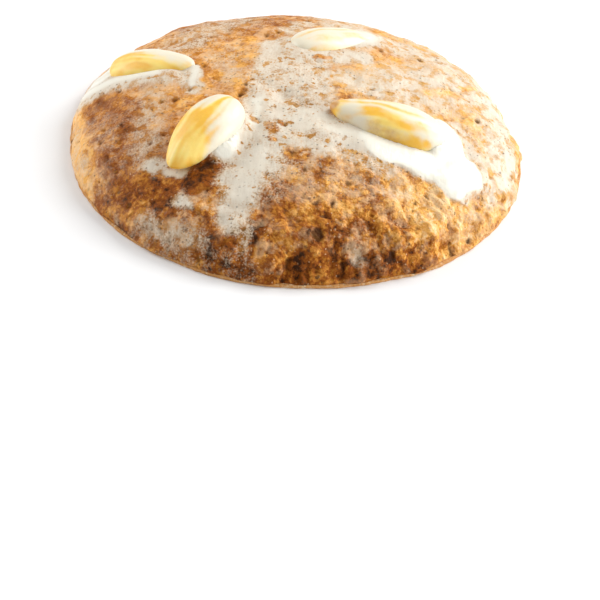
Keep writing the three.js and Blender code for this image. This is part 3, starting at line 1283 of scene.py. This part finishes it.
    def dome(self) -> bpy.types.Object:
        """Model the dome: a ball drawn flat, wrapped onto the solid and sliced off at the wafer.

        Returns:
            The smooth dome.
        """
        low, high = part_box("dough")
        size = Vector((high.x - low.x, high.y - low.y, 2 * (high.z - low.z))) * self.swell / 2
        bpy.ops.mesh.primitive_ico_sphere_add(subdivisions=self.splits, radius=1, location=(0, 0, 0))
        dome = bpy.context.object
        dome.name = "crust"
        with editing(dome, SelectMode.CORNERS):
            bpy.ops.transform.resize(value=size)
            bpy.ops.transform.translate(value=(0, 0, low.z))
        skin = self.solid_skin()
        apply_modifier(
            dome, "SHRINKWRAP", target=skin, wrap_method="PROJECT", use_negative_direction=True
        )
        apply_modifier(dome, "SMOOTH", factor=self.smoothing, iterations=self.smoothing_passes)
        bpy.data.objects.remove(skin)
        with editing(dome, SelectMode.CORNERS):
            bpy.ops.mesh.bisect(plane_co=(0, 0, low.z), plane_no=(0, 0, 1), use_fill=True, clear_inner=True)
        return dome

    def banked(self, points: np.ndarray, almonds: Sequence[bpy.types.Object]) -> np.ndarray:
        """Bank glaze up to the waists of the almonds.

        Args:
            points: the dome's corners, in millimetres.
            almonds: the almonds' pieces.

        Returns:
            How far each corner rises where the bank is full.
        """
        lift = np.zeros(len(points))
        for almond in almonds:
            kernel, facing = corners(almond.data), outward(almond.data)
            ring = np.abs(facing[:, 2]) < self.waist
            kernel, facing = kernel[ring], facing[ring, :2]
            plan = plan_tree(kernel[:, :2])
            low = kernel[:, :2].min(axis=0) - self.bank_width
            high = kernel[:, :2].max(axis=0) + self.bank_width
            near = np.all((points[:, :2] > low) & (points[:, :2] < high), axis=1)
            for i in np.flatnonzero(near):
                _, k, gap = plan.find((*points[i, :2], 0.0))
                inside = (points[i, :2] - kernel[k, :2]) @ facing[k] < 0
                share = 1.0 if inside else max(1 - gap / self.bank_width, 0.0)
                lift[i] = max(lift[i], (kernel[k, 2] - points[i, 2]) * share**2)
        return lift

    def pores(self, points: np.ndarray) -> np.ndarray:
        """Sink the open pores and pits.

        Args:
            points: the dome's corners, in millimetres.

        Returns:
            How deep each corner sinks.
        """
        plan = plan_tree(points[:, :2] + np.array([rim.bumps(points) for rim in self.pore_rims]).T)
        random = np.random.default_rng(self.pore_seed)
        spread = self.radius() * np.sqrt(random.random(self.pore_count))
        bearing = 2 * math.pi * random.random(self.pore_count)
        least, most = self.pore_radius
        radius = least + (most - least) * random.random(self.pore_count) ** 2
        scattered = [
            Pit((d * math.cos(b), d * math.sin(b)), r, self.pore_depth * r)
            for d, b, r in zip(spread, bearing, radius)
        ]
        depth = np.zeros(len(points))
        for pit in (*scattered, *self.pits):
            for _, i, distance in plan.find_range((*pit.at, 0.0), pit.radius):
                depth[i] = max(depth[i], pit.depth * (1 - (distance / pit.radius) ** 2))
        return depth

    def craggy(self, points: np.ndarray) -> np.ndarray:
        """Say how rough each part of the crust is, from its calm share to 1."""
        bearing = np.arctan2(points[:, 1], points[:, 0])
        return self.calm + (1 - self.calm) * np.clip(np.cos(bearing - self.crag_bearing), 0, 1)

    def rough(self, points: np.ndarray) -> np.ndarray:
        """Raise the crust's lumps, crags and wrinkles.

        Args:
            points: the dome's corners, in millimetres.

        Returns:
            How far each corner moves outward, in millimetres.
        """
        radius = self.radius()
        bearing = np.arctan2(points[:, 1], points[:, 0])
        edge = rise(*self.lump_band, np.hypot(points[:, 0], points[:, 1]) / radius)
        around = np.stack([radius * bearing, self.rib_stretch * points[:, 2], np.zeros(len(points))], axis=1)
        return self.craggy(points) * (
            edge * self.clods.lumps(points)
            + self.knobs.lumps(points)
            + edge**2 * self.ribs.lumps(around)
            + self.grit.bumps(points)
        )

    def dress(
        self,
        mesh: bpy.types.Mesh,
        points: np.ndarray,
        across: np.ndarray,
        film: np.ndarray,
        rough: np.ndarray,
        depth: np.ndarray,
    ) -> None:
        """Store what the finish reads: where the glaze lies, which parts are craggy, and which are darker or
        paler, painted shade and painted light among them.

        Args:
            mesh: the finished crust.
            points: its corners, in millimetres.
            across: how far out they lay on the smooth dome, as a share of its radius.
            film: how far glaze hides it.
            rough: how far its lumps and creases move it, in millimetres.
            depth: how deep its pores are, in millimetres.
        """
        plan = strayed(points, self.icing.waver, self.icing.fray)
        front = np.clip(-points[:, 1] / np.hypot(points[:, 0], points[:, 1]), 0, 1)
        # painted shade on the front of the rim, which faces away from the lamps
        rim = self.rim_front_shade * rise(*self.rim_band, across) * front
        crag = self.front_crag * front * rise(*self.front_band, across)
        paint(mesh, "film", film * (1 - self.worn * rise(*self.worn_band, across)))
        paint(mesh, "crisp", self.icing.crisp(points))
        # painted shade in the creases
        paint(mesh, "crease", rise(*self.crease, -rough))
        # pale dust and painted highlight on the crowns
        paint(mesh, "crown", rise(*self.crown, rough))
        paint(mesh, "crag", np.maximum(self.craggy(points), crag))
        # painted shade in the pores and pits
        paint(mesh, "pit", rise(*self.pit, depth))
        # darker crust, with painted shade on the front and the left side
        paint(mesh, "toast", np.maximum(rim, strongest(self.toasts_and_shade, plan)))
        # paler crust, with painted light on the lit right side and the left rim
        paint(mesh, "gold_and_light", strongest(self.golds_and_light, plan))

    def build(self, almonds: Sequence[bpy.types.Object]) -> bpy.types.Object:
        """Model the crust, dress it and set it on its body.

        Args:
            almonds: the almonds' pieces, which the glaze climbs.

        Returns:
            The piece.
        """
        dome = self.dome()
        mesh = dome.data
        points = corners(mesh)
        height = points[:, 2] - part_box("dough")[0].z / MM
        across = np.hypot(points[:, 0], points[:, 1]) / self.radius()
        film = self.icing.film(points)
        depth = self.pores(points) * (1 - rise(*self.pore_film, film))
        rough = self.rough(points)
        climb = self.icing.climb(points) * self.banked(points, almonds)
        bare = 1 - self.evened * rise(*self.evened_film, film)
        relief = rough * bare - depth + self.bead * self.icing.pooled(points)
        points += outward(mesh) * (relief * rise(0.0, self.skirt, height))[:, None]
        points[:, 2] += climb
        spread = self.foot * (1 - rise(0.0, self.foot_height, height)) / self.radius()
        points[:, :2] *= (1 + spread)[:, None]
        move_corners(mesh, points)
        self.dress(mesh, points, across, film, rough, depth)
        settle(dome, self.finish.material(), "dough", "dough")
        return dome


@dataclass
class Wafer:
    """The thin wafer that the dough was baked on."""

    finish: WaferFinish = WaferFinish()
    rounding: float = 0.2  # radius of its edge, in millimetres
    facets: int = 3  # of that round edge
    cuts: int = 2  # how often the sheet's edges are divided
    toasted: Span = (2.5, 0.5)  # how far from its edge it begins and is full, in millimetres
    frays: tuple[Wave, Wave] = (Wave(0.2, 2.2), Wave(0.12, 0.9, 6.0))  # how the edge strays

    def build(self) -> bpy.types.Object:
        """Model the wafer, dress it and set it on its body.

        Returns:
            The piece.
        """
        sheet = merged_copy("wafer", "wafer_sheet")
        apply_modifier(sheet, "BEVEL", width=self.rounding * MM, segments=self.facets, limit_method="ANGLE")
        with editing(sheet, SelectMode.EDGES):
            bpy.ops.mesh.subdivide(number_cuts=self.cuts)
        mesh = sheet.data
        points = corners(mesh)
        across = np.hypot(points[:, 0], points[:, 1])
        begin, full = self.toasted
        edge = rise(across.max() - begin, across.max() - full, across)
        stray = edge * sum(fray.bumps(points) for fray in self.frays)
        points[:, :2] *= (1 + stray / across.max())[:, None]
        move_corners(mesh, points)
        paint(mesh, "edge", edge)
        settle(sheet, self.finish.material(), "wafer", "wafer")
        return sheet


@dataclass(frozen=True)
class Lamp:
    """One soft light: where it hangs, in metres, how wide it is and how strong, in watts."""

    name: str
    at: tuple[float, float, float]
    width: float
    power: float
    colour: Colour = (1.0, 1.0, 1.0)


@dataclass
class Studio:
    """Floor, light and camera."""

    floor: FloorFinish = FloorFinish()
    floor_size: float = 8.0  # in metres
    sky: float = 0.48  # strength of the room's light
    white: Colour = (1.0, 1.0, 1.0)
    lamps: tuple[Lamp, ...] = (
        Lamp("key_light", (0.42, 0.28, 0.42), 0.35, 3.25),
        Lamp("right_light", (0.50, -0.12, 0.16), 0.3, 1.9),
        Lamp("left_light", (-0.50, 0.16, 0.24), 0.35, 2.1),
    )
    lens: float = 75.0  # in millimetres
    sensor: float = 36.0  # its width, in millimetres
    nearest: float = 0.01  # what the camera still sees, in metres
    distance: float = 0.2601  # from the middle of the wafer, in metres
    elevation: float = math.radians(34.26)
    yaw: float = math.radians(-0.71)
    pitch: float = math.radians(-7.09)
    roll: float = math.radians(-4.29)

    def lay_floor(self) -> None:
        """Lay the floor under the wafer."""
        bpy.ops.mesh.primitive_plane_add(size=self.floor_size, location=(0, 0, 0))
        floor = bpy.context.object
        floor.name = "floor"
        floor.data.materials.append(self.floor.material())

    def hang_lamps(self) -> None:
        """Hang the lamps and light the room."""
        for lamp in self.lamps:
            light = bpy.data.lights.new(lamp.name, "AREA")
            light.size = lamp.width
            light.energy = lamp.power
            light.color = lamp.colour
            hung = bpy.data.objects.new(lamp.name, light)
            bpy.context.scene.collection.objects.link(hung)
            hung.location = lamp.at
            hung.rotation_euler = (-Vector(lamp.at)).to_track_quat("-Z", "Y").to_euler()
        world = bpy.data.worlds.new("room")
        world.use_nodes = True
        world.node_tree.nodes["Background"].inputs["Strength"].default_value = self.sky
        world.node_tree.nodes["Background"].inputs["Color"].default_value = (*self.white, 1.0)
        bpy.context.scene.world = world

    def set_camera(self) -> None:
        """Set the camera where the photograph was taken from."""
        eye = self.distance * Vector((0, -math.cos(self.elevation), math.sin(self.elevation)))
        right, ahead = Vector((1, 0, 0)), -eye.normalized()
        up = right.cross(ahead)
        ahead = Matrix.Rotation(self.pitch, 3, right) @ Matrix.Rotation(self.yaw, 3, up) @ ahead
        right = Matrix.Rotation(self.yaw, 3, up) @ right
        up = right.cross(ahead)
        turn = Matrix.Rotation(self.roll, 3, ahead)
        right, up = turn @ right, turn @ up
        lens = bpy.data.cameras.new("camera")
        lens.lens = self.lens
        lens.sensor_width = self.sensor
        lens.clip_start = self.nearest
        camera = bpy.data.objects.new("camera", lens)
        bpy.context.scene.collection.objects.link(camera)
        facing = Matrix((right, up, -ahead)).transposed().to_4x4()
        camera.matrix_world = Matrix.Translation(eye) @ facing
        bpy.context.scene.camera = camera

    def build(self) -> None:
        """Set up the whole studio."""
        self.lay_floor()
        self.hang_lamps()
        self.set_camera()
        bpy.context.scene.view_settings.view_transform = "Standard"


def main() -> None:
    """Build the studio and then the biscuit, piece by piece."""
    logging.basicConfig(level=logging.INFO, format="%(name)s: %(message)s")
    Studio().build()
    icing = Icing()
    Wafer().build()
    kernel = AlmondFinish().material()
    names = sorted(name for name in frame["nodes"] if name.startswith("almond"))
    almonds = [Almond(name, icing).build(kernel) for name in names]
    Dough(icing).build(almonds)


if __name__ == "__main__":
    main()
